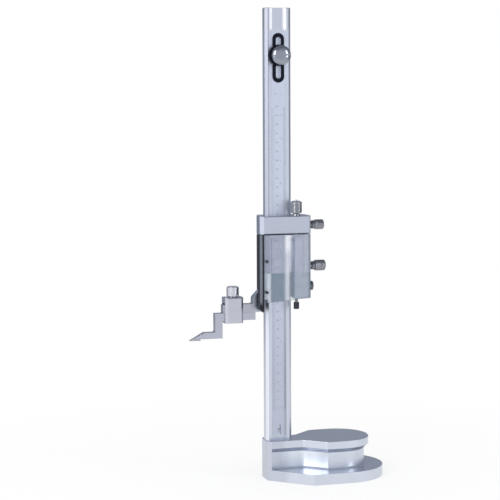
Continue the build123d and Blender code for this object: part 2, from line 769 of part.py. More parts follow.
with BuildPart() as scriber_clamp_pad:
    with BuildSketch(Plane.XY.offset(jaw_top + seat_gap)):
        with Locations((clamp_x, 0)):
            Circle(4.2)
    extrude(amount=pad_thickness)
finish(scriber_clamp_pad, "scriber_clamp_pad")

jaw_knob_radius = 7.0
jaw_knob_low = clamp_high + 0.9
jaw_knob_top = clamp_high + 11.9
jaw_screw_tip = clamp_slot_top
with BuildPart() as scriber_clamp_screw:
    turn((clamp_x, 0, jaw_screw_tip), (0, 0, 1), [
        (z - jaw_screw_tip, r) for z, r in (
            (jaw_screw_tip, 0), (jaw_screw_tip, 2.5), (clamp_high + seat_gap, 2.5),
            (clamp_high + seat_gap, 4.4), (jaw_knob_low, 4.4),
            (jaw_knob_low + 0.6, jaw_knob_radius), (jaw_knob_top - 1.0, jaw_knob_radius),
            (jaw_knob_top, jaw_knob_radius - 1.6), (jaw_knob_top, 0),
        )
    ])
finish(scriber_clamp_screw, "scriber_clamp_screw")

# ---------------------------------------------------------------- scriber
shank_end = -(frame_left + 5.6)
leg_width = 8.4
leg_left = clamp_right - clamp_width - 11.1
foot_height = 7.0
foot_lift = 1.8            # steel foot above the hard-metal tip
foot_left = leg_left - 12.2
tip_length = 16.6
tip_end = foot_left - tip_length
tip_blunt = 0.4            # height of the scribing edge
tip_insert = 12.0          # length of the hard metal
tip_width = 3.2
foot_bottom = tip_height + foot_lift
wedge_end = tip_end + tip_length * (foot_lift - tip_blunt) / (foot_lift + foot_height - tip_blunt)
with BuildSketch(Plane.XY.offset(tip_height)) as point_plan:
    with BuildLine():
        Polyline(
            (shank_end + 1, -shank_depth / 2), (shank_end + 1, shank_depth / 2),
            (foot_left, shank_depth / 2), (tip_end, tip_width / 2),
            (tip_end, -tip_width / 2), (foot_left, -shank_depth / 2), close=True,
        )
    make_face()
with BuildPart() as scriber:
    with BuildSketch(Plane.XZ) as scriber_side:
        with BuildLine():
            Polyline(
                (shank_end, shank_top), (leg_left, shank_top),
                (leg_left, foot_bottom + foot_height), (foot_left, foot_bottom + foot_height),
                (wedge_end, foot_bottom), (leg_left + leg_width, foot_bottom),
                (leg_left + leg_width, shank_bottom), (shank_end, shank_bottom), close=True,
            )
        make_face()
        for corner in ((leg_left + leg_width, shank_bottom), (leg_left, foot_bottom + foot_height)):
            fillet(scriber_side.vertices().sort_by_distance(corner)[0], radius=1.5)
    extrude(amount=shank_depth / 2, both=True)
    add(point_plan.sketch)
    extrude(amount=shank_top - tip_height, mode=Mode.INTERSECT)
finish(scriber, "scriber")

with BuildPart() as scriber_tip:
    with BuildSketch(Plane.XZ):
        with BuildLine():
            Polyline(
                (tip_end, tip_height), (tip_end, tip_height + tip_blunt),
                (wedge_end, foot_bottom), (tip_end + tip_insert, foot_bottom),
                (tip_end + tip_insert, tip_height), close=True,
            )
        make_face()
    extrude(amount=shank_depth / 2, both=True)
    add(point_plan.sketch)
    extrude(amount=foot_lift, mode=Mode.INTERSECT)
finish(scriber_tip, "scriber_tip")
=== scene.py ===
"""Vernier height gauge, 0 to 300 mm: finishes, graduations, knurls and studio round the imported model."""
import math

import bmesh
import bpy
from mathutils import Matrix, Vector


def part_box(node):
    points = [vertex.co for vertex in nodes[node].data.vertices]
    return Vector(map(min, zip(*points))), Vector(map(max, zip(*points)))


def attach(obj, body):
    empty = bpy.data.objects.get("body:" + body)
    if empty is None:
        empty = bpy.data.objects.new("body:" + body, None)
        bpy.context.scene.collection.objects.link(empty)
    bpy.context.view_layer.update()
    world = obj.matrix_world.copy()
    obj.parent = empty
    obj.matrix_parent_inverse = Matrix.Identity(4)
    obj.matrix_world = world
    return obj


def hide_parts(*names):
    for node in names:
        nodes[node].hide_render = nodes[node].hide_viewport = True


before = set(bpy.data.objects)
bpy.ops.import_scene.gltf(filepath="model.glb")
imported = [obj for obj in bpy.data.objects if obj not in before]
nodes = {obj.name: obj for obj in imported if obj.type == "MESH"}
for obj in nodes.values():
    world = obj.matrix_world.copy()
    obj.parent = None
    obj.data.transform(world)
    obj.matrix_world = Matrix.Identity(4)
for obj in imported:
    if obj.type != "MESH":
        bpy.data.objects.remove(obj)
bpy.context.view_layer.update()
mm = 0.001

# ------------------------------------------------------------------ camera
# A long lens a little to the left of the graduated face and slightly above the middle of the column,
# upright, so that the verticals stay nearly parallel.
camera_turn = math.radians(17.0)
camera_tilt = math.radians(5.21)
camera_roll = math.radians(-0.19)
camera_distance = 1.9046
camera_target = Vector((0, 0, 0.265))
ahead = Vector((math.sin(camera_turn) * math.cos(camera_tilt),
                math.cos(camera_turn) * math.cos(camera_tilt), -math.sin(camera_tilt)))
level_right = Vector((math.cos(camera_turn), -math.sin(camera_turn), 0))
level_up = level_right.cross(ahead)
right = level_right * math.cos(camera_roll) + level_up * math.sin(camera_roll)
up = level_up * math.cos(camera_roll) - level_right * math.sin(camera_roll)

camera_data = bpy.data.cameras.new("camera")
camera_data.sensor_width = 36.0
camera_data.lens = 121.95
camera_data.shift_x = -0.054
camera_data.shift_y = -0.0088
camera = bpy.data.objects.new("camera", camera_data)
camera.matrix_world = (
    Matrix.Translation(camera_target - ahead * camera_distance)
    @ Matrix((right, up, -ahead)).transposed().to_4x4()
)
bpy.context.scene.collection.objects.link(camera)
bpy.context.scene.camera = camera
bpy.context.scene.view_settings.view_transform = "Standard"


# ------------------------------------------------------------------ studio
# White floor, one large soft lamp at the left and a weaker one at the right. Gloss shows a room of
# lighter and darker walls. Nodes are written as Python expressions: a Socket's operators add Math
# nodes, and Tree.add makes any other node.
class Socket:
    """The output of a node, with the operators that the finishes use."""

    def __init__(self, tree, link):
        self.tree = tree
        self.link = link

    def math(self, operation, *values):
        return self.tree.add("ShaderNodeMath", {"operation": operation}, dict(enumerate(values)))

    def __add__(self, other):
        return self.math("ADD", self, other)

    def __sub__(self, other):
        return self.math("SUBTRACT", self, other)

    def __rsub__(self, other):
        return self.math("SUBTRACT", other, self)

    def __mul__(self, other):
        return self.math("MULTIPLY", self, other)

    def __truediv__(self, other):
        return self.math("DIVIDE", self, other)

    def __pow__(self, other):
        return self.math("POWER", self, other)

    __radd__ = __add__
    __rmul__ = __mul__


class Tree:
    """A node tree of a material, the world or a geometry group."""

    def __init__(self, tree):
        self.tree = tree
        tree.nodes.clear()

    def add(self, kind, settings=None, sockets=None, output=0):
        node = self.tree.nodes.new(kind)
        for name, value in (settings or {}).items():
            if name == "stops":
                stops = node.color_ramp.elements
                stops.remove(stops[1])
                stops[0].position, stops[0].color = value[0][0], (*value[0][1], 1.0)
                for place, colour in value[1:]:
                    stops.new(place).color = (*colour, 1.0)
            else:
                setattr(node, name, value)
        for name, value in (sockets or {}).items():
            if isinstance(value, Socket):
                self.tree.links.new(value.link, node.inputs[name])
            else:
                node.inputs[name].default_value = value
        return Socket(self, node.outputs[output]) if node.outputs else None

    def mix(self, factor, first, second):
        """A colour between two, each a socket or an (r, g, b)."""
        colours = [c if isinstance(c, Socket) else (*c, 1.0) for c in (first, second)]
        return self.add("ShaderNodeMix", {"data_type": "RGBA", "clamp_factor": True},
                        {0: factor, 6: colours[0], 7: colours[1]}, 2)

    def clamp(self, value):
        return self.add("ShaderNodeClamp", {}, {"Value": value})


world = bpy.data.worlds.new("studio")
world.use_nodes = True
bpy.context.scene.world = world
sky = Tree(world.node_tree)
seen_directly = (sky.add("ShaderNodeLightPath", output="Is Camera Ray")
                 + sky.add("ShaderNodeLightPath", output="Is Transmission Ray"))
seen_in_gloss = sky.add("ShaderNodeLightPath", output="Is Glossy Ray")
direction = sky.add("ShaderNodeTexCoord", output="Generated")
sideways = sky.add("ShaderNodeSeparateXYZ", {}, {"Vector": direction}, "X")
backward = sky.add("ShaderNodeSeparateXYZ", {}, {"Vector": direction}, "Y")
bearing = sideways.math("ARCTAN2", sideways, 0 - backward) / (2 * math.pi) + 0.5
walls = sky.add("ShaderNodeValToRGB", {"stops": [
    (0.00, (0.36, 0.39, 0.46)), (0.06, (0.25, 0.28, 0.34)), (0.15, (0.30, 0.33, 0.39)),
    (0.21, (0.96, 0.98, 1.02)), (0.35, (0.96, 0.98, 1.02)), (0.42, (0.83, 0.86, 0.92)),
    (0.62, (0.83, 0.86, 0.92)), (0.70, (0.44, 0.46, 0.53)), (0.80, (0.26, 0.28, 0.33)),
    (1.00, (0.36, 0.39, 0.46)),
]}, {"Fac": bearing}, "Color")
height = sky.add("ShaderNodeSeparateXYZ", {}, {"Vector": direction}, "Z")
room = sky.mix(sky.clamp((height - 0.30) * 2.0), walls, (0.30, 0.31, 0.36))   # dim ceiling
ambient = (0.80, 0.81, 0.84)
lit = sky.mix(seen_in_gloss, ambient, room)
shown = sky.mix(seen_directly, lit, (1.0, 1.0, 1.0))
sky.add("ShaderNodeOutputWorld", {}, {
    "Surface": sky.add("ShaderNodeBackground", {}, {"Color": shown, "Strength": 1.0})})


def soft_lamp(name, place, aim, width, height, power):
    data = bpy.data.lights.new(name, "AREA")
    data.shape = "RECTANGLE"
    data.size = width
    data.size_y = height
    data.energy = power
    lamp = bpy.data.objects.new(name, data)
    lamp.location = place
    lamp.rotation_euler = (Vector(aim) - Vector(place)).to_track_quat("-Z", "Y").to_euler()
    bpy.context.scene.collection.objects.link(lamp)


soft_lamp("key_lamp", (-1.3, -1.0, 0.9), (0, 0, 0.25), 0.7, 1.2, 14.0)
soft_lamp("fill_lamp", (1.2, -1.2, 0.7), (0, 0, 0.25), 0.25, 1.1, 5.0)

floor_radius = 1.1
floor_sides = 96
floor_mesh = bpy.data.meshes.new("floor")
floor_mesh.from_pydata(
    [(floor_radius * math.cos(2 * math.pi * k / floor_sides),
      floor_radius * math.sin(2 * math.pi * k / floor_sides), -0.2 * mm)
     for k in range(floor_sides)],
    [], [range(floor_sides)])
floor = bpy.data.objects.new("floor", floor_mesh)
bpy.context.scene.collection.objects.link(floor)
floor_paint = bpy.data.materials.new("floor_paint")
floor_paint.use_nodes = True
paint = Tree(floor_paint.node_tree)
direct = (paint.add("ShaderNodeLightPath", output="Is Camera Ray")
          + paint.add("ShaderNodeLightPath", output="Is Glossy Ray")
          + paint.add("ShaderNodeLightPath", output="Is Transmission Ray"))
from_middle = paint.add("ShaderNodeVectorMath", {"operation": "LENGTH"}, {
    0: paint.add("ShaderNodeTexCoord", output="Object")}, "Value")
whitening = paint.clamp(0.72 + from_middle * 0.5)   # plain white far out, a soft shadow near
paint.add("ShaderNodeOutputMaterial", {}, {"Surface": paint.add("ShaderNodeMixShader", {}, {
    0: paint.clamp(direct) * whitening,
    1: paint.add("ShaderNodeBsdfDiffuse", {}, {"Color": (0.9, 0.9, 0.9, 1.0)}),
    2: paint.add("ShaderNodeEmission", {}, {"Color": (1.0, 1.0, 1.0, 1.0), "Strength": 1.0}),
})})
floor_mesh.materials.append(floor_paint)


# ------------------------------------------------------------------ base
# Cast and ground foot with a finger groove, satin chromed. The finish is a fine matt grain with
# slightly polished edges that are painted lighter as a highlight, and the machined top is painted
# a shade darker as shade.
def finish_of(name):
    material = bpy.data.materials.new(name)
    material.use_nodes = True
    return material, Tree(material.node_tree)


def satin_steel(name, tone, grain, roughness, edge_width=0.35 * mm, edge_highlight=0.6,
                relief=0.02, painted_top_shade=0.0, groove_shade_tone=None, variation=None):
    """Ground or satin metal. grain is how often the grinding lines repeat per metre on X, Y, Z.
    With a groove_shade_tone, a mesh's "groove" attribute says where that dark tone is painted as
    shade in the knurl's valleys.
    variation(tree, place, flat, colour) may change the colour over a piece."""
    material, tree = finish_of(name)
    place = tree.add("ShaderNodeTexCoord", output="Object")
    lines = tree.add("ShaderNodeTexNoise", {}, {
        "Vector": tree.add("ShaderNodeMapping", {}, {"Vector": place, "Scale": grain}),
        "Scale": 1.0, "Detail": 3.0, "Roughness": 0.6}, "Fac")
    cloud = tree.add("ShaderNodeTexNoise", {}, {
        "Vector": place, "Scale": 26.0, "Detail": 4.0, "Roughness": 0.55}, "Fac")
    handling = tree.add("ShaderNodeTexNoise", {}, {
        "Vector": place, "Scale": 75.0, "Detail": 6.0, "Roughness": 0.7}, "Fac")
    rounded = tree.add("ShaderNodeBevel", {"samples": 4}, {"Radius": edge_width})
    flat = tree.add("ShaderNodeNewGeometry", output="True Normal")
    agree = tree.add("ShaderNodeVectorMath", {"operation": "DOT_PRODUCT"},
                     {0: rounded, 1: flat}, "Value")
    edge = tree.clamp((1 - agree) * 9.0)
    upward = tree.add("ShaderNodeSeparateXYZ", {}, {"Vector": flat}, "Z")
    # grain and cloud vary the tone at random; upward faces are painted darker here, as shade
    shade = 0.25 + lines * 0.35 + cloud * 0.4 - tree.clamp(upward) * painted_top_shade
    dark = [c * 0.80 for c in tone]
    light = [min(c * 1.12, 1.0) for c in tone]
    # edges are painted lighter here as a highlight; the lower roughness on them stands for polish
    edge_highlight_colour = [c + (1 - c) * 0.55 for c in tone]
    colour = tree.mix(tree.clamp(shade), dark, light)
    colour = tree.mix(edge * edge_highlight, colour, edge_highlight_colour)
    # the knurl's valleys are painted dark here as shade
    if groove_shade_tone:
        groove = tree.add("ShaderNodeAttribute", {"attribute_name": "groove"}, output="Fac")
        colour = tree.mix(groove, colour, groove_shade_tone)
    if variation:
        colour = variation(tree, place, flat, colour)
    rough = roughness - 0.05 + lines * 0.06 + handling * 0.06 - edge * 0.08
    tree.add("ShaderNodeOutputMaterial", {}, {
        "Surface": tree.add("ShaderNodeBsdfPrincipled", {}, {
            "Base Color": colour, "Metallic": 1.0, "Roughness": rough,
            "Normal": tree.add("ShaderNodeBump", {}, {
                "Strength": relief, "Distance": 0.2 * mm, "Height": lines, "Normal": rounded}),
        })})
    return material


def dress(material, *names):
    """Give CAD nodes their finish."""
    for name in names:
        nodes[name].data.materials.clear()
        nodes[name].data.materials.append(material)


def axis_of(tree, vector, axis):
    """The X, Y or Z of a vector."""
    return tree.add("ShaderNodeSeparateXYZ", {}, {"Vector": vector}, axis)


def band(tree, value, start, end, soft):
    """1 between two places and 0 outside, with soft edges."""
    return tree.clamp((value - start) / soft) * tree.clamp((end - value) / soft)


def base_tones(tree, place, flat, colour):
    """Painted light and shade: upright faces are paler in the groove beside the neck and darker on
    the nose.
    """
    slope = axis_of(tree, flat, "Z")
    upright = 1 - tree.clamp(slope.math("ABSOLUTE", slope) * 1.5)
    along = axis_of(tree, place, "X")
    groove = band(tree, axis_of(tree, place, "Z"), 11.5 * mm, 33 * mm, 1.0 * mm)
    neck = band(tree, along, 6 * mm, 46 * mm, 8 * mm)
    nose = upright * tree.clamp((6 * mm - along) / (6 * mm))
    colour = tree.mix(nose * 0.5, colour, (0.47, 0.50, 0.58))
    return tree.mix(upright * groove * neck * 0.55, colour, (0.88, 0.92, 1.0))


base_steel = satin_steel("base_steel", (0.63, 0.67, 0.75), (900, 900, 900), 0.34, painted_top_shade=0.06,
                         relief=0.06, variation=base_tones)
dress(base_steel, "base")
screw_steel = satin_steel("screw_steel", (0.42, 0.43, 0.45), (1500, 1500, 1500), 0.35)
dress(screw_steel, "column_screws", "scale_guide_screw", "fine_screw_collar", "gib_strip",
      "gib_grub_screw", "vernier_screws", "scriber_clamp_pad", "back_plate_screws")

# ------------------------------------------------------------------ column
# Ground steel bar with bevelled corners. The grinding runs along the bar. The tones painted along it
# stand for light and shade on its bevels and in its groove.
rule_low, rule_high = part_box("main_scale")
column_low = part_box("column")[0]
highlight_streak_places = ((-10.4 * mm, -5.8 * mm), (5.3 * mm, 10.0 * mm))


def column_tones(tree, place, flat, colour):
    """Painted light and shade: left bevel darker above and paler below, a shadow line beside it, a
    paler left side, a darker slot floor above the rule and highlight streaks on it."""
    across = axis_of(tree, place, "X")
    height = axis_of(tree, place, "Z")
    upper = tree.clamp((height - 150 * mm) / (150 * mm))
    left_bevel = tree.clamp((axis_of(tree, flat, "X") * axis_of(tree, flat, "Y") - 0.3) * 8)
    colour = tree.mix(left_bevel * upper * 0.75, colour, (0.38, 0.40, 0.47))
    colour = tree.mix(left_bevel * (1 - upper) * 0.8, colour, (0.78, 0.80, 0.88))
    # a painted shadow line along the groove's left edge
    groove_edge_shadow = band(tree, across, column_low.x + 2.6 * mm, column_low.x + 4.4 * mm, 0.4 * mm)
    colour = tree.mix(groove_edge_shadow * upper * 0.8, colour, (0.34, 0.37, 0.45))
    # painted highlight streaks on the slot floor above the rule
    highlight_streak = (band(tree, across, *highlight_streak_places[0], 0.9 * mm)
              + band(tree, across, *highlight_streak_places[1], 0.9 * mm))
    bare = tree.clamp((height - rule_high.z - 1 * mm) / (3 * mm))
    side = tree.clamp(0 - axis_of(tree, flat, "X") * 8 - 6.5)
    colour = tree.mix(side * upper * 0.5, colour, (0.90, 0.90, 0.92))
    colour = tree.mix(bare * 0.3, colour, (0.44, 0.44, 0.48))
    return tree.mix(highlight_streak * bare * 0.95, colour, (0.98, 0.98, 1.0))


column_steel = satin_steel("column_steel", (0.60, 0.635, 0.715), (1800, 1800, 12), 0.36,
                           edge_highlight=0.0, variation=column_tones)
dress(column_steel, "column")


# ------------------------------------------------------------------ rule
# Matt chromed steel strip with filled dark lines: millimetres along the left edge and fortieths of
# an inch along the right. Both scales share one zero line.
def rule_tones(tree, place, flat, colour):
    """Painted shade: darker towards the foot, most of all along the right edge."""
    lower = tree.clamp((250 * mm - axis_of(tree, place, "Z")) / (120 * mm))
    right_edge = tree.clamp((axis_of(tree, place, "X") - 5.0 * mm) / (1.5 * mm))
    return tree.mix(lower * (0.35 + right_edge * 0.45), colour, (0.33, 0.36, 0.45))


rule_steel = satin_steel("rule_steel", (0.59, 0.63, 0.73), (500, 500, 60), 0.42,
                         edge_width=0.15 * mm, edge_highlight=0.0, relief=0.01,
                         variation=rule_tones)
dress(rule_steel, "main_scale", "vernier_left", "vernier_right")

ink, ink_tree = finish_of("graduation_black")
ink_grain = ink_tree.add("ShaderNodeTexNoise", {}, {
    "Vector": ink_tree.add("ShaderNodeTexCoord", output="Object"), "Scale": 900.0,
    "Detail": 2.0}, "Fac")
ink_tree.add("ShaderNodeOutputMaterial", {}, {
    "Surface": ink_tree.add("ShaderNodeBsdfPrincipled", {}, {
        "Base Color": ink_tree.mix(ink_grain, (0.05, 0.05, 0.06), (0.12, 0.12, 0.14)),
        "Roughness": 0.45 + ink_grain * 0.2})})

INPUT_KINDS = {int: "NodeSocketInt", float: "NodeSocketFloat",
               bpy.types.Material: "NodeSocketMaterial"}


def new_group(name, inputs):
    """A geometry tree with named inputs, and a function that gives each of them as a socket."""
    group = bpy.data.node_groups.new(name, "GeometryNodeTree")
    group.interface.new_socket("Geometry", in_out="INPUT", socket_type="NodeSocketGeometry")
    for label, kind in inputs.items():
        group.interface.new_socket(label, in_out="INPUT", socket_type=INPUT_KINDS[kind])
    group.interface.new_socket("Geometry", in_out="OUTPUT", socket_type="NodeSocketGeometry")
    tree = Tree(group)
    source = tree.add("NodeGroupInput")
    entry = source.link.node
    return group, tree, lambda label: Socket(tree, entry.outputs[label])


def end_group(tree, geometry, material):
    """Realize Instances and Set Material close every tree."""
    whole = tree.add("GeometryNodeRealizeInstances", {}, {"Geometry": geometry})
    tree.add("NodeGroupOutput", {}, {
        "Geometry": tree.add("GeometryNodeSetMaterial", {}, {
            "Geometry": whole, "Material": material})})


def grow(name, group, values, mesh=None, place=None):
    """Run a geometry tree on a mesh and keep the result as a plain mesh object."""
    holder = bpy.data.objects.new(name + "_source", mesh or bpy.data.meshes.new(name + "_source"))
    bpy.context.scene.collection.objects.link(holder)
    modifier = holder.modifiers.new("tree", "NODES")
    modifier.node_group = group
    for item in group.interface.items_tree:
        if item.in_out == "INPUT" and item.name in values:
            modifier[item.identifier] = values[item.name]
    graph = bpy.context.evaluated_depsgraph_get()
    result = bpy.data.meshes.new_from_object(holder.evaluated_get(graph))
    holder.modifiers.remove(modifier)
    bpy.data.objects.remove(holder)
    return plain_object(name, result, place)


def plain_object(name, mesh, place=None, smooth_below=None):
    """An object at the origin whose mesh holds its place."""
    if place is not None:
        mesh.transform(place)
    if smooth_below is not None:
        mesh.shade_smooth()
        mesh.set_sharp_from_angle(angle=math.radians(smooth_below))
    piece = bpy.data.objects.new(name, mesh)
    bpy.context.scene.collection.objects.link(piece)
    return piece


lines_group, lines_tree, line_input = new_group("graduation_lines", {
    "Count": int, "Pitch": float, "Short": float, "Medium": float, "Long": float,
    "Medium every": int, "Long every": int, "Line width": float, "Height": float,
    "Material": bpy.types.Material})
number = lines_tree.add("GeometryNodeInputIndex")


def every(step):
    """1 on each line whose number divides by step, else 0."""
    return number.math("LESS_THAN", number.math("MODULO", number, step), 0.5)


medium_here = every(line_input("Medium every"))
long_here = every(line_input("Long every"))
plain_or_medium = (line_input("Short")
                   + medium_here * (line_input("Medium") - line_input("Short")))
line_length = plain_or_medium + long_here * (line_input("Long") - plain_or_medium)
pitch_step = lines_tree.add("ShaderNodeCombineXYZ", {}, {"Z": line_input("Pitch")})
one_line = lines_tree.add("GeometryNodeTransform", {}, {
    "Geometry": lines_tree.add("GeometryNodeMeshCube", {}, {"Size": (1, 1, 1)}),
    "Translation": (0.5, 0, 0)})
end_group(lines_tree, lines_tree.add("GeometryNodeInstanceOnPoints", {}, {
    "Points": lines_tree.add("GeometryNodeMeshLine", {}, {
        "Count": line_input("Count"), "Offset": pitch_step}),
    "Instance": one_line,
    "Scale": lines_tree.add("ShaderNodeCombineXYZ", {}, {
        "X": line_length, "Y": line_input("Height"), "Z": line_input("Line width")}),
}), line_input("Material"))

ink_height = 0.03 * mm


def rule_lines(name, count, pitch, lengths, steps, place, line_width=0.11 * mm):
    """Graduation lines that start at place and run along +X, or -X where the lengths are negative."""
    piece = grow(name, lines_group, {
        "Count": count, "Pitch": pitch, "Short": lengths[0] * mm, "Medium": lengths[1] * mm,
        "Long": lengths[2] * mm, "Medium every": steps[0], "Long every": steps[1],
        "Line width": line_width, "Height": ink_height, "Material": ink},
        place=Matrix.Translation(place))
    bm = bmesh.new()
    bm.from_mesh(piece.data)
    bmesh.ops.recalc_face_normals(bm, faces=bm.faces)
    bm.to_mesh(piece.data)
    bm.free()
    return piece


def lettering(name, words, size, depth):
    """Flat figures in the ink, one mesh. Each word is (text, x, z, alignment)."""
    merged = bmesh.new()
    for text, x, z, align in words:
        curve = bpy.data.curves.new(name, "FONT")
        curve.body = text
        curve.size = size
        curve.align_x = align
        curve.align_y = "CENTER"
        curve.resolution_u = 3
        curve.extrude = ink_height / 2
        holder = bpy.data.objects.new(name, curve)
        bpy.context.scene.collection.objects.link(holder)
        graph = bpy.context.evaluated_depsgraph_get()
        figure = bpy.data.meshes.new_from_object(holder.evaluated_get(graph))
        figure.transform(Matrix.Translation((x, depth, z)) @ Matrix.Rotation(math.pi / 2, 4, "X"))
        merged.from_mesh(figure)
        bpy.data.objects.remove(holder)
    bmesh.ops.remove_doubles(merged, verts=merged.verts, dist=1e-6)
    mesh = bpy.data.meshes.new(name)
    merged.to_mesh(mesh)
    merged.free()
    mesh.materials.clear()
    mesh.materials.append(ink)
    return plain_object(name, mesh)


scale_zero = 79.5 * mm
inch = 25.4 * mm
rule_face = rule_low.y - 0.005 * mm
mm_lines = rule_lines("rule_lines_mm", 341, 1.0 * mm, (3.2, 4.3, 5.6), (5, 10),
                      (rule_low.x + 0.05 * mm, rule_face, scale_zero))
inch_lines = rule_lines("rule_lines_inch", 537, inch / 40, (-2.6, -3.4, -5.4), (4, 40),
                        (rule_high.x - 0.05 * mm, rule_face, scale_zero))
mm_figures = [(str(value), -0.4 * mm, scale_zero + (value + 1.7) * mm, "RIGHT")
              for value in range(0, 341, 10)]
inch_figures = [(str(value), 1.2 * mm, scale_zero + value * inch + 1.9 * mm, "LEFT")
                for value in range(0, 14)]
unit_height = 435.0 * mm
units = [("mm", -3.2 * mm, unit_height, "CENTER"), ("in", 3.2 * mm, unit_height, "CENTER")]
rule_figures = lettering("rule_figures", mm_figures + inch_figures + units, 2.0 * mm, rule_face)
for piece in (mm_lines, inch_lines, rule_figures):
    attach(piece, "rule")

# ------------------------------------------------------------------ verniers
# Two bevelled plates at the rule's edges. The left one divides 19 mm in 20, the right one divides
# 24 fortieths of an inch in 25, and both zeros stand at the scriber's height.
vernier_zero = scale_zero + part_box("scriber_tip")[0].z
left_low, left_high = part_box("vernier_left")
right_low, right_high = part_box("vernier_right")
vernier_face = left_low.y - 0.005 * mm
bevel_inset = 1.05 * mm
left_lines = rule_lines("vernier_lines_mm", 21, 19.0 / 20 * mm, (-2.2, -2.2, -3.2), (1, 2),
                        (left_high.x - bevel_inset, vernier_face, vernier_zero))
right_lines = rule_lines("vernier_lines_inch", 26, 24 * inch / 40 / 25, (1.2, 1.2, 2.0), (1, 5),
                         (right_low.x + bevel_inset, vernier_face, vernier_zero))
vernier_figures = lettering("vernier_figures", [
    (str(value), left_high.x - bevel_inset - 4.6 * mm, vernier_zero + value * 1.9 * mm, "CENTER")
    for value in range(0, 11, 2)
], 1.5 * mm, vernier_face)
for piece in (left_lines, right_lines, vernier_figures):
    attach(piece, "slider")

# ------------------------------------------------------------------ rule fixing
# Blackened slotted link and washer under a large polished, domed and slotted screw.
black_oxide, oxide_tree = finish_of("black_oxide")
oxide_place = oxide_tree.add("ShaderNodeTexCoord", output="Object")
oxide_cloud = oxide_tree.add("ShaderNodeTexNoise", {}, {
    "Vector": oxide_place, "Scale": 160.0, "Detail": 5.0}, "Fac")
oxide_round = oxide_tree.add("ShaderNodeBevel", {"samples": 4}, {"Radius": 0.3 * mm})
oxide_flat = oxide_tree.add("ShaderNodeNewGeometry", output="True Normal")
oxide_edge = oxide_tree.clamp((1 - oxide_tree.add(
    "ShaderNodeVectorMath", {"operation": "DOT_PRODUCT"},
    {0: oxide_round, 1: oxide_flat}, "Value")) * 6.0)
oxide_colour = oxide_tree.mix(oxide_cloud, (0.003, 0.004, 0.009), (0.010, 0.011, 0.020))
oxide_tree.add("ShaderNodeOutputMaterial", {}, {
    "Surface": oxide_tree.add("ShaderNodeBsdfPrincipled", {}, {
        "Base Color": oxide_tree.mix(oxide_edge * 0.5, oxide_colour, (0.03, 0.03, 0.04)),
        "Roughness": 0.34 + oxide_cloud * 0.16, "Specular IOR Level": 0.08,
        "Normal": oxide_tree.add("ShaderNodeBump", {}, {
            "Strength": 0.08, "Distance": 0.2 * mm, "Height": oxide_cloud,
            "Normal": oxide_round})})})
dress(black_oxide, "scale_link", "scale_lock_washer")

lock_chrome = satin_steel("lock_chrome", (0.31, 0.335, 0.38), (260, 260, 260), 0.14,
                          edge_width=0.3 * mm, relief=0.03)


def lathe(profile, segments):
    """A closed mesh turned about Z from (radius, z) points, whose first and last lie on the axis."""
    bm = bmesh.new()
    rings = []
    for radius, z in profile:
        if radius < 1e-9:
            rings.append([bm.verts.new((0, 0, z))])
        else:
            rings.append([bm.verts.new((radius * math.cos(a), radius * math.sin(a), z))
                          for a in (2 * math.pi * k / segments for k in range(segments))])
    for lower, upper in zip(rings, rings[1:]):
        for k in range(segments):
            corners = [lower[k % len(lower)], lower[(k + 1) % len(lower)],
                       upper[(k + 1) % len(upper)], upper[k % len(upper)]]
            corners = [v for n, v in enumerate(corners) if v not in corners[:n]]
            if len(corners) > 2:
                bm.faces.new(corners)
    bmesh.ops.recalc_face_normals(bm, faces=bm.faces)
    mesh = bpy.data.meshes.new("turned")
    bm.to_mesh(mesh)
    bm.free()
    return mesh


lock_low, lock_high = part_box("scale_lock_screw")
washer_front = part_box("scale_lock_washer")[0].y
lock_middle = (lock_low + lock_high) / 2
lock_radius = (lock_high.x - lock_low.x) / 2
lock_height = washer_front - lock_low.y
lock_neck = 7.5 * mm
lock_flare = 5.0 * mm
lock_rim = 7.5 * mm
lock_profile = [(0, -1.0 * mm), (2.5 * mm, -1.0 * mm), (2.5 * mm, 0), (lock_neck, 0),
                (lock_radius - 0.2 * mm, lock_flare - 0.3 * mm),
                (lock_radius, lock_flare + 0.2 * mm), (lock_radius, lock_rim)]
dome_steps = 18
for step in range(1, dome_steps + 1):
    angle = math.pi / 2 * step / dome_steps
    lock_profile.append((lock_radius * math.cos(angle) if step < dome_steps else 0,
                         lock_rim + (lock_height - lock_rim) * math.sin(angle)))
lock_source = plain_object("rule_lock_source", lathe(lock_profile, 96))
slot_width = 1.8 * mm
slot_floor = lock_height - 2.6 * mm
cutter_mesh = bpy.data.meshes.new("slot_cutter")
cutter_bm = bmesh.new()
bmesh.ops.create_cube(cutter_bm, size=1.0)
bmesh.ops.transform(cutter_bm, verts=cutter_bm.verts, matrix=(
    Matrix.Rotation(math.radians(4), 4, "Z")
    @ Matrix.Translation((0, 0, slot_floor + 5 * mm))
    @ Matrix.Diagonal((3 * lock_radius, slot_width, 10 * mm, 1.0))))
cutter_bm.to_mesh(cutter_mesh)
cutter_bm.free()
cutter = plain_object("slot_cutter", cutter_mesh)
cut = lock_source.modifiers.new("slot", "BOOLEAN")
cut.operation = "DIFFERENCE"
cut.solver = "EXACT"
cut.object = cutter
soften = lock_source.modifiers.new("soften", "BEVEL")
soften.width = 0.15 * mm
soften.segments = 2
soften.limit_method = "ANGLE"
soften.angle_limit = math.radians(40)
lock_mesh = bpy.data.meshes.new_from_object(
    lock_source.evaluated_get(bpy.context.evaluated_depsgraph_get()))
bpy.data.objects.remove(lock_source)
bpy.data.objects.remove(cutter)
lock_mesh.materials.append(lock_chrome)
lock_screw = plain_object(
    "rule_lock_screw_head", lock_mesh,
    Matrix.Translation((lock_middle.x, washer_front, lock_middle.z))
    @ Matrix.Rotation(math.pi / 2, 4, "X"), smooth_below=35)
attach(lock_screw, "rule_lock")
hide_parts("scale_lock_screw")


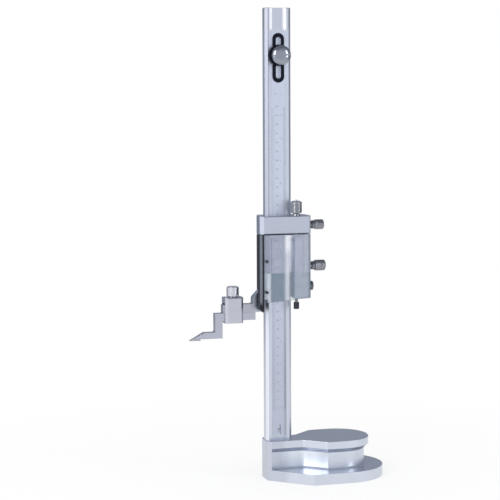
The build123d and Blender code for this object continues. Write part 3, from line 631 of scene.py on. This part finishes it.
# ------------------------------------------------------------------ slider and block
# Satin chromed steel bodies with fine grinding lines that run from side to side. The guard is a
# blackened strip with a bare ground bevel, and a brass plug saves the column from the block's screw.
def slider_tones(tree, place, flat, colour):
    """The jaw, left of the body, is darker."""
    jaw = tree.clamp((-27 * mm - axis_of(tree, place, "X")) / (3 * mm))
    return tree.mix(jaw * 0.6, colour, (0.42, 0.42, 0.46))


slider_steel = satin_steel("slider_steel", (0.54, 0.57, 0.65), (60, 900, 1400), 0.3,
                           edge_width=0.4 * mm, edge_highlight=0.05, variation=slider_tones)
dress(slider_steel, "slider_frame", "slider_back_plate", "fine_adjust_block")
dark_chrome = satin_steel("dark_chrome", (0.13, 0.145, 0.16), (700, 700, 700), 0.18,
                          edge_width=0.25 * mm, relief=0.004)
dress(dark_chrome, "gib_lock_screw")
nut_steel = satin_steel("nut_steel", (0.05, 0.055, 0.065), (700, 700, 700), 0.22,
                        edge_width=0.25 * mm, relief=0.004)
dress(nut_steel, "fine_screw_nut", "magnifier_screws")

guard_black, guard_tree = finish_of("guard_black")
guard_place = guard_tree.add("ShaderNodeTexCoord", output="Object")
guard_grain = guard_tree.add("ShaderNodeTexNoise", {}, {
    "Vector": guard_place, "Scale": 240.0, "Detail": 4.0}, "Fac")
guard_flat = guard_tree.add("ShaderNodeNewGeometry", output="True Normal")
guard_side = axis_of(guard_tree, guard_flat, "X")
guard_front = axis_of(guard_tree, guard_flat, "Y")
guard_low, guard_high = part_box("side_guard")
ground_bevel = (                                    # bare steel, but black again near the heel
    guard_tree.clamp((guard_side * guard_front - 0.3) * 10)
    * guard_tree.clamp((guard_high.x - 1.3 * mm - axis_of(guard_tree, guard_place, "X")) / mm)
    * guard_tree.clamp((axis_of(guard_tree, guard_place, "Z") - guard_low.z - 8 * mm) / (5 * mm)))
guard_tree.add("ShaderNodeOutputMaterial", {}, {
    "Surface": guard_tree.add("ShaderNodeBsdfPrincipled", {}, {
        "Base Color": guard_tree.mix(
            ground_bevel, guard_tree.mix(guard_grain, (0.006, 0.006, 0.010), (0.018, 0.018, 0.024)),
            guard_tree.mix(guard_grain, (0.14, 0.16, 0.19), (0.20, 0.22, 0.26))),
        "Metallic": ground_bevel, "Roughness": 0.3 + guard_grain * 0.12,
        "Specular IOR Level": 0.14})})
dress(guard_black, "side_guard")

brass, brass_tree = finish_of("turned_brass")
brass_grain = brass_tree.add("ShaderNodeTexNoise", {}, {
    "Vector": brass_tree.add("ShaderNodeTexCoord", output="Object"), "Scale": 700.0}, "Fac")
brass_tree.add("ShaderNodeOutputMaterial", {}, {
    "Surface": brass_tree.add("ShaderNodeBsdfPrincipled", {}, {
        "Base Color": brass_tree.mix(brass_grain, (0.62, 0.44, 0.17), (0.80, 0.62, 0.30)),
        "Metallic": 1.0, "Roughness": 0.25 + brass_grain * 0.15})})
dress(brass, "fine_clamp_pad")

# ------------------------------------------------------------------ plate on the slider
# Thin plain plate, left bare, beside the window on the slider's front.
frame_low, frame_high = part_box("slider_frame")
window_low = left_low.z
window_high = left_high.z
plate_thickness = 0.2 * mm
plate_left = right_high.x + 0.3 * mm
plate_right = plate_left + 8.7 * mm
plate_mesh = bpy.data.meshes.new("blank_plate")
plate_bm = bmesh.new()
bmesh.ops.create_cube(plate_bm, size=1.0)
bmesh.ops.transform(plate_bm, verts=plate_bm.verts, matrix=(
    Matrix.Translation(((plate_left + plate_right) / 2, frame_low.y - plate_thickness / 2,
                        (window_low + window_high) / 2))
    @ Matrix.Diagonal((plate_right - plate_left, plate_thickness,
                       window_high - window_low - 0.6 * mm, 1.0))))
bmesh.ops.bevel(plate_bm, geom=[e for e in plate_bm.edges if abs(
    e.verts[0].co.y - e.verts[1].co.y) > plate_thickness / 2], offset=0.8 * mm, segments=4,
    affect="EDGES")
plate_bm.to_mesh(plate_mesh)
plate_bm.free()
plate_mesh.materials.append(rule_steel)
blank_plate = plain_object("blank_plate", plate_mesh)
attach(blank_plate, "slider")

# ------------------------------------------------------------------ magnifying cover
# One clear moulded plate over the slider's front with a convex lens band down it, a hair off the
# frame on its two screws. Here the clear look is alpha alone and enlarges nothing. Its tint holds
# painted highlights, the pale strips down the lens and beside the rule, and painted shade, the
# darker lower part, the darker patch over the rule, the dark rim and the dark right edge.
cover_low, cover_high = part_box("magnifier")
lens_middle = 5.6 * mm
clear, clear_tree = finish_of("clear_plastic")
cover_place = clear_tree.add("ShaderNodeTexCoord", output="Object")
cover_x = axis_of(clear_tree, cover_place, "X")
cover_z = axis_of(clear_tree, cover_place, "Z")
cover_facing = axis_of(
    clear_tree, clear_tree.add("ShaderNodeNewGeometry", output="True Normal"), "Y")


def cover_band(start, end, soft=1.8 * mm):
    """1 over an upright strip of the cover and 0 beside it."""
    return band(clear_tree, cover_x, start, end, soft)


below_window = clear_tree.clamp((window_low - cover_z) / (0.8 * mm))
# a painted highlight down the lens band
lens_highlight = cover_band(lens_middle - 5.2 * mm, lens_middle + 4.4 * mm, 2.6 * mm)
upper_part = clear_tree.clamp((cover_z - 255 * mm) / (12 * mm))
# the side faces, painted dark teal as shade
rim = clear_tree.clamp(1.4 - cover_facing.math("ABSOLUTE", cover_facing) * 2)
in_front = clear_tree.clamp(0 - cover_facing * 2)
cloud = clear_tree.add("ShaderNodeTexNoise", {}, {
    "Vector": cover_place, "Scale": 120.0, "Detail": 3.0}, "Fac")
past_edge = 3 * mm
left_strip_end = -13.6 * mm
right_strip_start = 24.0 * mm
# the patch over the rule, painted darker as shade
rule_shade_patch = (-15.2 * mm, 3.0 * mm)
glint_strip = (-19.2 * mm, -14.2 * mm)
# the tint is darker over the left strip and paler over the right
upper_depth = (0.22 + cover_band(cover_low.x - past_edge, left_strip_end) * 0.22
               - cover_band(right_strip_start, cover_high.x + past_edge) * 0.16)
lower_depth = 0.16 + cover_band(*rule_shade_patch) * 0.37
# painted shade along the right edge
right_edge_shade = clear_tree.clamp((cover_x - cover_high.x + 1.6 * mm) / (1.2 * mm))
# a painted glint of the column's bevel, below the window
bevel_glint = below_window * cover_band(*glint_strip, 1.2 * mm)
# alpha of the tint, raised where shade and highlights are painted
depth = (upper_depth + below_window * (lower_depth - upper_depth) + (cloud - 0.5) * 0.2
         + lens_highlight * (0.10 + upper_part * 0.15) + bevel_glint * 0.12 + right_edge_shade * 0.35)
# how far the tint turns white as a painted highlight
painted_highlight_amount = lens_highlight * (0.56 + upper_part * 0.22) + bevel_glint * 0.5
# painted shade: the tint is darker below the window
glass = clear_tree.mix(below_window, (0.20, 0.22, 0.29), (0.12, 0.17, 0.22))
tint = clear_tree.mix(painted_highlight_amount, glass, (0.96, 0.97, 1.0))
clear_tree.add("ShaderNodeOutputMaterial", {}, {
    "Surface": clear_tree.add("ShaderNodeBsdfPrincipled", {}, {
        "Base Color": clear_tree.mix(rim, tint, (0.06, 0.11, 0.13)),
        "Roughness": 0.05,
        "Alpha": clear_tree.clamp(in_front * depth + rim * 0.6 + 0.03)})})
lens_rise = 3.0 * mm
lens_half = 9.5 * mm
cover_gap = 0.3 * mm
cover_back = cover_high.y - cover_gap
cover_front = cover_low.y + lens_rise
lens_radius = (lens_half ** 2 + lens_rise ** 2) / (2 * lens_rise)
lens_angle = math.asin(lens_half / lens_radius)
outline = [(cover_low.x, cover_back), (cover_low.x, cover_front)]
lens_steps = 32
for step in range(lens_steps + 1):
    angle = lens_angle * (2 * step / lens_steps - 1)
    outline.append((lens_middle + lens_radius * math.sin(angle),
                    cover_low.y + lens_radius * (1 - math.cos(angle))))
outline += [(cover_high.x, cover_front), (cover_high.x, cover_back)]
cover_rise = 4.0 * mm      # of the slanted lower edge, from left to right
cover_bm = bmesh.new()
lower = [cover_bm.verts.new((x, y, cover_low.z + cover_rise
                             * (x - cover_low.x) / (cover_high.x - cover_low.x)))
         for x, y in outline]
upper = [cover_bm.verts.new((x, y, cover_high.z)) for x, y in outline]
for k in range(len(outline)):
    after = (k + 1) % len(outline)
    cover_bm.faces.new((lower[k], lower[after], upper[after], upper[k]))
cover_bm.faces.new(lower)
cover_bm.faces.new(upper)
bmesh.ops.recalc_face_normals(cover_bm, faces=cover_bm.faces)
cover_mesh = bpy.data.meshes.new("magnifier_cover")
cover_bm.to_mesh(cover_mesh)
cover_bm.free()
cover_source = plain_object("cover_source", cover_mesh)
round_off = cover_source.modifiers.new("round_off", "BEVEL")
round_off.width = 0.45 * mm
round_off.segments = 3
round_off.limit_method = "ANGLE"
round_off.angle_limit = math.radians(45)
cover_mesh = bpy.data.meshes.new_from_object(
    cover_source.evaluated_get(bpy.context.evaluated_depsgraph_get()))
bpy.data.objects.remove(cover_source)
cover_mesh.materials.append(clear)
cover = plain_object("magnifier_cover", cover_mesh, smooth_below=32)
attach(cover, "slider")
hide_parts("magnifier")

# ------------------------------------------------------------------ knurled screws
# Turned steel thumb screws. The head is rolled between two crossed sets of teeth, which leaves
# small pyramids; the collar and the shank are smooth.
# the valleys between the pyramids are painted dark as shade by the groove tone
knurled_steel = satin_steel("knurled_steel", (0.56, 0.58, 0.62), (900, 900, 900), 0.18,
                            edge_width=0.1 * mm, relief=0.01, groove_shade_tone=(0.06, 0.06, 0.07))
bright_knurl = satin_steel("bright_knurl", (0.88, 0.89, 0.93), (900, 900, 900), 0.18,
                           edge_width=0.1 * mm, relief=0.01, groove_shade_tone=(0.50, 0.50, 0.55))
collar_steel = satin_steel("collar_steel", (0.22, 0.23, 0.25), (900, 900, 900), 0.1,
                           edge_width=0.1 * mm, relief=0.01)
knurl_group, knurl_tree, knurl_input = new_group("diamond_knurl", {
    "Radius": float, "Teeth": int, "Depth": float, "Tooth length": float,
    "Material": bpy.types.Material})
spot = knurl_tree.add("GeometryNodeInputPosition")
axes = knurl_tree.add("ShaderNodeSeparateXYZ", {}, {"Vector": spot})
spot_x, spot_y, spot_z = (Socket(knurl_tree, axes.link.node.outputs[k]) for k in range(3))
spot_radius = (spot_x * spot_x + spot_y * spot_y) ** 0.5
round_count = (spot_x.math("ARCTAN2", spot_y, spot_x) / (2 * math.pi) * knurl_input("Teeth"))
along_count = spot_z / knurl_input("Tooth length")


def tooth(phase):
    """A ridge that rises from 0 to 1 and back once in each turn of phase."""
    place = phase.math("FRACT", phase + 0.001) * 2 - 1
    return 1 - place.math("ABSOLUTE", place)


pyramid = spot_x.math("MINIMUM", tooth(round_count + along_count),
                      tooth(round_count - along_count))
on_head = spot_radius.math("GREATER_THAN", spot_radius, knurl_input("Radius") - 0.01 * mm)
shrink = 1 - on_head * (1 - pyramid) * knurl_input("Depth") / knurl_input("Radius")
# groove marks the knurl's valleys, where the finish paints shade
marked = knurl_tree.add("GeometryNodeStoreNamedAttribute", {
    "data_type": "FLOAT", "domain": "POINT"}, {
    "Geometry": knurl_input("Geometry"), "Name": "groove", "Value": on_head * (1 - pyramid)})
end_group(knurl_tree, knurl_tree.add("GeometryNodeSetPosition", {}, {
    "Geometry": marked,
    "Position": knurl_tree.add("ShaderNodeCombineXYZ", {}, {
        "X": spot_x * shrink, "Y": spot_y * shrink, "Z": spot_z})}), knurl_input("Material"))


knurl_depth = 0.22 * mm


def knurled_screw(name, node, body, direction, start, tail, knurl_from, knurl_to, head_radius,
                  head_end, finish=knurled_steel):
    """A turned screw on direction from start. tail and head_end are (radius, distance) points
    before and after the knurled length, and the piece stands for the CAD node."""
    tooth_length = 1.1 * mm
    teeth = 4 * round(head_radius / (tooth_length / 2) * math.pi / 2 / 2)
    rows = round((knurl_to - knurl_from) / tooth_length * 4)
    knurled = [(head_radius, knurl_from + (knurl_to - knurl_from) * k / rows)
               for k in range(rows + 1)]
    turned = lathe(tail + knurled + head_end, 4 * teeth)
    steer = Vector((0, 0, 1)).rotation_difference(Vector(direction)).to_matrix().to_4x4()
    piece = grow(name, knurl_group, {
        "Radius": head_radius, "Teeth": teeth, "Depth": knurl_depth,
        "Tooth length": tooth_length, "Material": finish}, turned,
        Matrix.Translation(start) @ steer)
    piece.data.shade_smooth()
    piece.data.set_sharp_from_angle(angle=math.radians(28))
    piece.data.materials.append(collar_steel)
    for face in piece.data.polygons:
        if (face.center - start).dot(Vector(direction)) < knurl_from - 0.8 * mm:
            face.material_index = 1
    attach(piece, body)
    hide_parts(node)


def thumb_screw(name, node, body):
    """The two screws at the right: shank, smooth collar, knurled head with a domed end."""
    shank = 3.0 * mm
    collar = 4.8 * mm
    bare_shank = 6.6 * mm
    collar_length = 3.6 * mm
    low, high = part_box(node)
    axis_y = (low.y + high.y) / 2
    axis_z = (low.z + high.z) / 2
    head = (high.y - low.y) / 2
    length = high.x - low.x
    collar_start = frame_high.x + bare_shank - low.x
    collar_end = collar_start + collar_length
    knurled_screw(
        name, node, body, (1, 0, 0), Vector((low.x, axis_y, axis_z)),
        [(0, 0), (shank, 0), (shank, collar_start), (collar - 0.4 * mm, collar_start),
         (collar, collar_start + 0.4 * mm), (collar, collar_end - 0.5 * mm),
         (collar - 0.5 * mm, collar_end), (head - 0.6 * mm, collar_end),
         (head - 0.05 * mm, collar_end + 0.7 * mm)],
        collar_end + 0.75 * mm, length - 1.5 * mm, head,
        [(head - 0.05 * mm, length - 1.45 * mm), (head - 1.3 * mm, length - 0.4 * mm),
         (head - 3.2 * mm, length - 0.05 * mm), (0, length)])


thumb_screw("slider_thumb_screw", "slider_clamp_screw", "slider_clamp_knob")
thumb_screw("block_thumb_screw", "fine_clamp_screw", "fine_clamp_knob")

jaw_low, jaw_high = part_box("scriber_clamp_screw")
jaw_head = (jaw_high.x - jaw_low.x) / 2
clamp_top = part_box("scriber_clamp")[1].z
jaw_middle = (jaw_low + jaw_high) / 2
jaw_knob_start = clamp_top + 0.9 * mm - jaw_low.z
jaw_length = jaw_high.z - jaw_low.z
jaw_shank = 2.5 * mm
jaw_neck = 4.4 * mm
jaw_neck_start = jaw_knob_start - 0.85 * mm
knurled_screw(
    "jaw_thumb_screw", "scriber_clamp_screw", "clamp_knob", (0, 0, 1),
    Vector((jaw_middle.x, jaw_middle.y, jaw_low.z)),
    [(0, 0), (jaw_shank, 0), (jaw_shank, jaw_neck_start), (jaw_neck, jaw_neck_start),
     (jaw_neck, jaw_knob_start),
     (jaw_head - 0.6 * mm, jaw_knob_start), (jaw_head - 0.05 * mm, jaw_knob_start + 0.6 * mm)],
    jaw_knob_start + 0.65 * mm, jaw_length - 1.0 * mm, jaw_head,
    [(jaw_head - 0.05 * mm, jaw_length - 0.95 * mm), (jaw_head - 1.4 * mm, jaw_length),
     (0, jaw_length)], bright_knurl)

fine_low, fine_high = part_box("fine_adjust_screw")
fine_head = (fine_high.x - fine_low.x) / 2
fine_middle = (fine_low + fine_high) / 2
block_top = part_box("fine_adjust_block")[1].z
fine_length = fine_high.z - fine_low.z
knob_base = block_top - fine_low.z
fine_stem = 1.7 * mm
flange_radius = 4.6 * mm
flange_start = knob_base + 0.05 * mm
head_start = knob_base + 3.2 * mm
head_top = knob_base + 16.6 * mm
knurled_screw(
    "fine_feed_screw", "fine_adjust_screw", "fine_knob", (0, 0, 1),
    Vector((fine_middle.x, fine_middle.y, fine_low.z)),
    [(0, 0), (fine_stem, 0), (fine_stem, flange_start), (flange_radius, flange_start),
     (flange_radius - 1.0 * mm, head_start), (fine_head - 0.7 * mm, head_start),
     (fine_head - 0.05 * mm, head_start + 0.65 * mm)],
    head_start + 0.7 * mm, head_top - 1.3 * mm, fine_head,
    [(fine_head - 0.05 * mm, head_top - 1.25 * mm), (fine_head - 2.2 * mm, head_top),
     (fine_stem, head_top), (fine_stem, fine_length - 0.5 * mm),
     (fine_stem - 0.5 * mm, fine_length), (0, fine_length)])

# ------------------------------------------------------------------ clamp, scriber and its tip
# Ground tool steel, the clamp close in tone to the slider and the shank a shade darker. The point is
# hard metal, brazed on.
scriber_steel = satin_steel("scriber_steel", (0.56, 0.565, 0.63), (40, 1200, 1600), 0.3,
                            edge_highlight=0.7)
dress(scriber_steel, "scriber_clamp")
shank_steel = satin_steel("shank_steel", (0.49, 0.50, 0.57), (40, 1200, 1600), 0.3,
                          edge_highlight=0.5)
dress(shank_steel, "scriber")
hard_metal = satin_steel("hard_metal", (0.46, 0.46, 0.48), (1200, 300, 1200), 0.22)
dress(hard_metal, "scriber_tip")
